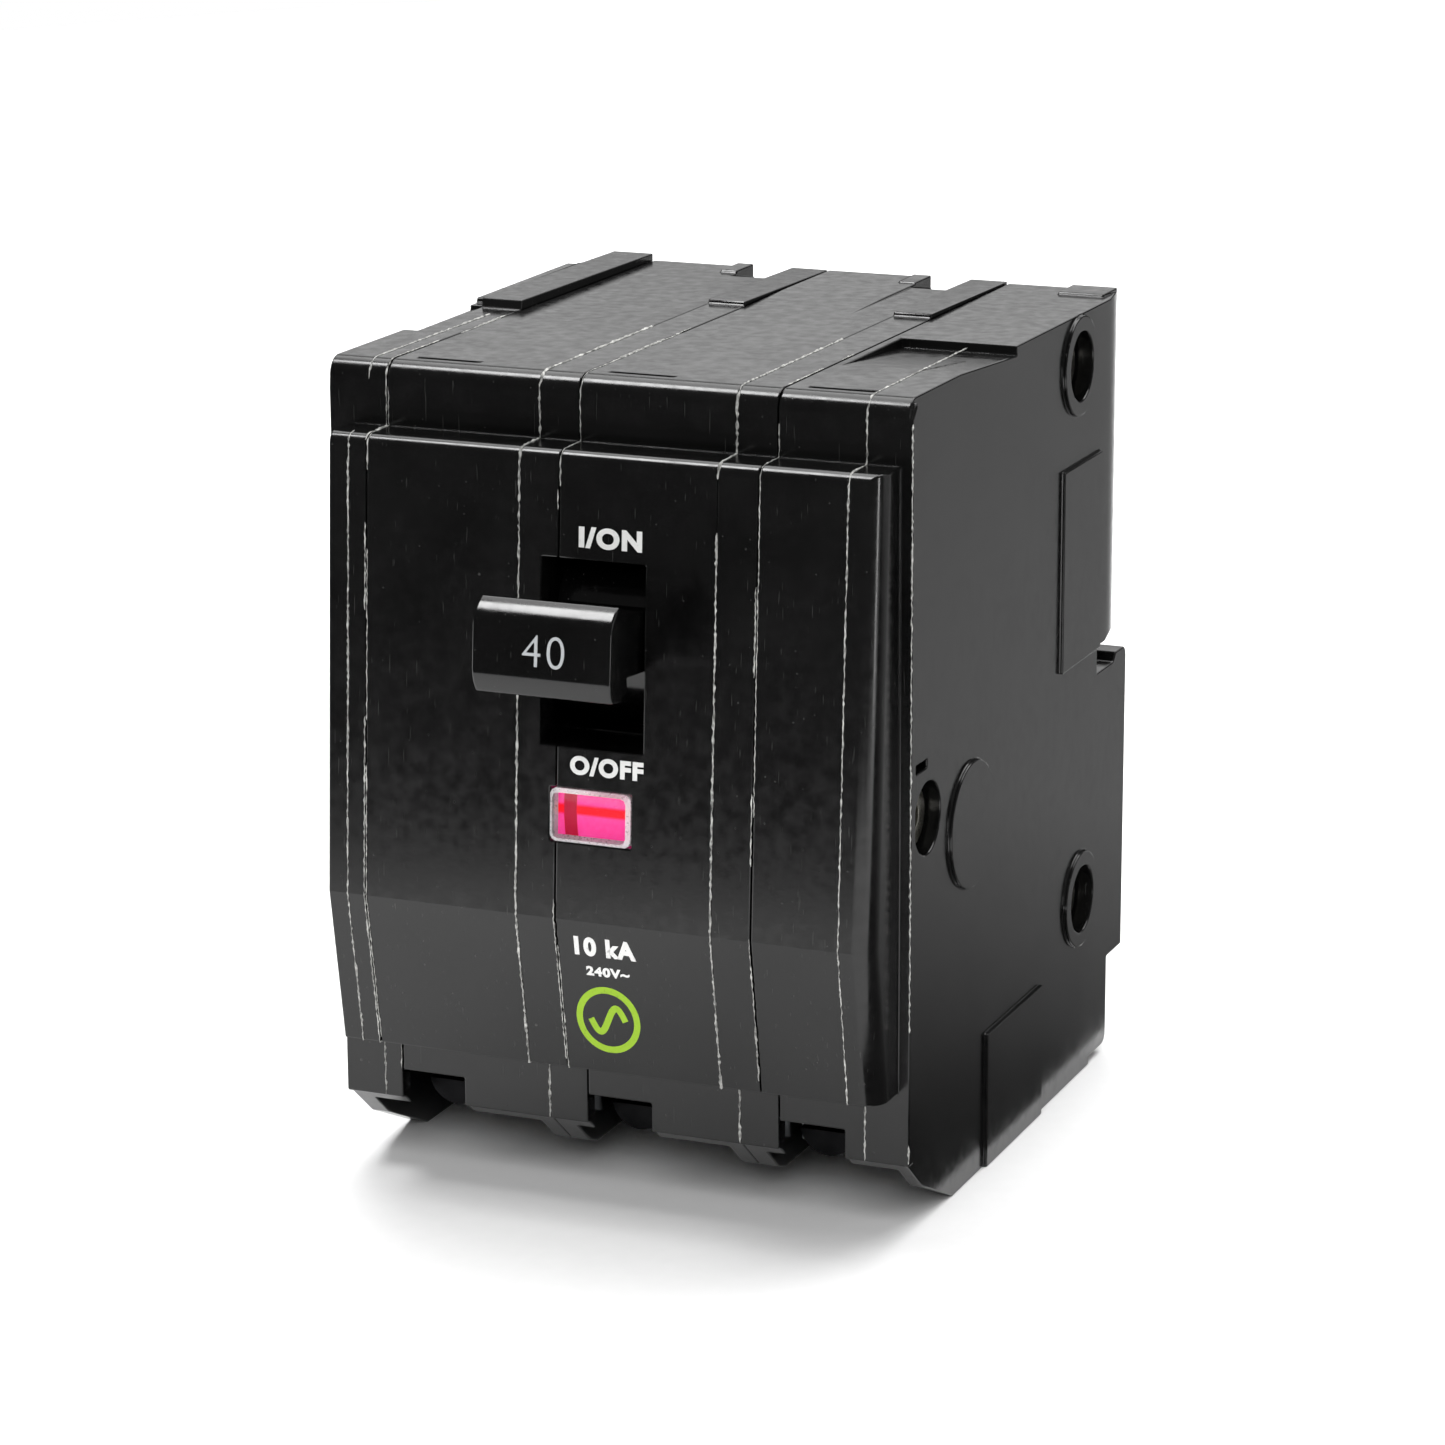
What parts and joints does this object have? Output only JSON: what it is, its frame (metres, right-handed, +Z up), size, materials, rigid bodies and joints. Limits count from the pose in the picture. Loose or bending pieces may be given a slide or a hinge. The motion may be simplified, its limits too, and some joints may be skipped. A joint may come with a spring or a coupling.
{
  "type": "three-pole plug-on miniature circuit breaker",
  "caption": "Plug-on moulded-case miniature circuit breaker with one centre handle, a trip flag behind a clear window, line jaws at the back and box lugs at the foot.",
  "frame": {"origin": "centre of the box at the level that the feet stand on, with the handle tripped", "axes": "+X to the right as the handle is seen from the front, +Y from the handle to the panel, +Z up towards the line end"},
  "size_m": [0.0572, 0.0802, 0.0792],
  "materials": {
    "case_black": "moulded black thermoset, glossy on the front",
    "handle_black": "moulded black, glossy",
    "bar_plastic": "moulded glass-filled, matt",
    "tinned_copper": "tin plated copper, satin",
    "copper": "bare copper, rolled",
    "silver_contact": "silver alloy, ground",
    "steel": "zinc plated pressed steel",
    "bimetal": "rolled bimetal strip",
    "lug_metal": "tin plated aluminium, extruded and cut",
    "plate_brass": "pressed brass",
    "rivet_steel": "plated tubular steel",
    "screw_black": "black oxide steel, turned",
    "flag_red": "moulded signal red",
    "lens_clear": "clear moulded acrylic"
  },
  "bodies": {
    "case": {"base_1": "case_black", "cover_1": "case_black", "line_jaw_1": "tinned_copper", "arc_plates_1": "steel", "bimetal_1": "bimetal", "load_strap_1": "copper", "magnet_yoke_1": "steel", "braid_1": "copper", "wire_lug_1": "lug_metal", "base_2": "case_black", "cover_2": "case_black", "line_jaw_2": "tinned_copper", "arc_plates_2": "steel", "bimetal_2": "bimetal", "load_strap_2": "copper", "magnet_yoke_2": "steel", "braid_2": "copper", "wire_lug_2": "lug_metal", "base_3": "case_black", "cover_3": "case_black", "line_jaw_3": "tinned_copper", "arc_plates_3": "steel", "bimetal_3": "bimetal", "load_strap_3": "copper", "magnet_yoke_3": "steel", "braid_3": "copper", "wire_lug_3": "lug_metal", "fixed_contacts": "silver_contact", "handle_pin": "steel", "trip_spring": "steel", "lens": "lens_clear", "case_rivets": "rivet_steel"},
    "handle": {"handle": "handle_black"},
    "crossbar": {"crossbar": "bar_plastic", "moving_contacts": "silver_contact", "toggle_spring": "steel", "contact_arm_1": "copper", "contact_arm_2": "copper", "contact_arm_3": "copper"},
    "cradle": {"cradle": "steel", "trip_flag": "flag_red"},
    "trip_bar": {"trip_bar": "bar_plastic", "armature_1": "steel", "armature_2": "steel", "armature_3": "steel"},
    "clamp_1": {"clamp_plate_1": "plate_brass"},
    "screw_1": {"clamp_screw_1": "screw_black"},
    "clamp_2": {"clamp_plate_2": "plate_brass"},
    "screw_2": {"clamp_screw_2": "screw_black"},
    "clamp_3": {"clamp_plate_3": "plate_brass"},
    "screw_3": {"clamp_screw_3": "screw_black"}
  },
  "joints": [
    {"name": "handle_turn", "type": "hinge", "parent": "case", "child": "handle", "pos_m": [0, -0.01792, 0.0542], "axis": [-1, 0, 0], "range_deg": [-28, 17]},
    {"name": "crossbar_turn", "type": "hinge", "parent": "case", "child": "crossbar", "pos_m": [0, 0.00658, 0.0534], "axis": [-1, 0, 0], "range_deg": [-26.4, 16], "deforming": ["toggle_spring", "braid_1", "braid_2", "braid_3"]},
    {"name": "cradle_turn", "type": "hinge", "parent": "case", "child": "cradle", "pos_m": [0, -0.01802, 0.0391], "axis": [1, 0, 0], "range_deg": [0, 30]},
    {"name": "trip_bar_turn", "type": "hinge", "parent": "case", "child": "trip_bar", "pos_m": [0, 0.00007, 0.0474], "axis": [1, 0, 0], "range_deg": [0, 6], "stiffness_Nm_per_rad": 0.02, "springref_deg": -5.73, "deforming": ["trip_spring"]},
    {"name": "clamp_1_slide", "type": "slide", "parent": "case", "child": "clamp_1", "axis": [0, 1, 0], "range_m": [0, 0.003]},
    {"name": "screw_1_turn", "type": "hinge", "parent": "clamp_1", "child": "screw_1", "pos_m": [-0.01905, -0.01742, 0.0087], "axis": [0, 1, 0], "range_deg": [0, 1080]},
    {"name": "clamp_2_slide", "type": "slide", "parent": "case", "child": "clamp_2", "axis": [0, 1, 0], "range_m": [0, 0.003]},
    {"name": "screw_2_turn", "type": "hinge", "parent": "clamp_2", "child": "screw_2", "pos_m": [0, -0.01742, 0.0087], "axis": [0, 1, 0], "range_deg": [0, 1080]},
    {"name": "clamp_3_slide", "type": "slide", "parent": "case", "child": "clamp_3", "axis": [0, 1, 0], "range_m": [0, 0.003]},
    {"name": "screw_3_turn", "type": "hinge", "parent": "clamp_3", "child": "screw_3", "pos_m": [0.01905, -0.01742, 0.0087], "axis": [0, 1, 0], "range_deg": [0, 1080]}
  ],
  "couplings": [
    {"joint": "crossbar_turn", "follows": "handle_turn", "ratio": 0.94118},
    {"joint": "screw_1_turn", "follows": "clamp_1_slide", "rad_per_m": 6283.2},
    {"joint": "screw_2_turn", "follows": "clamp_2_slide", "rad_per_m": 6283.2},
    {"joint": "screw_3_turn", "follows": "clamp_3_slide", "rad_per_m": 6283.2}
  ]
}
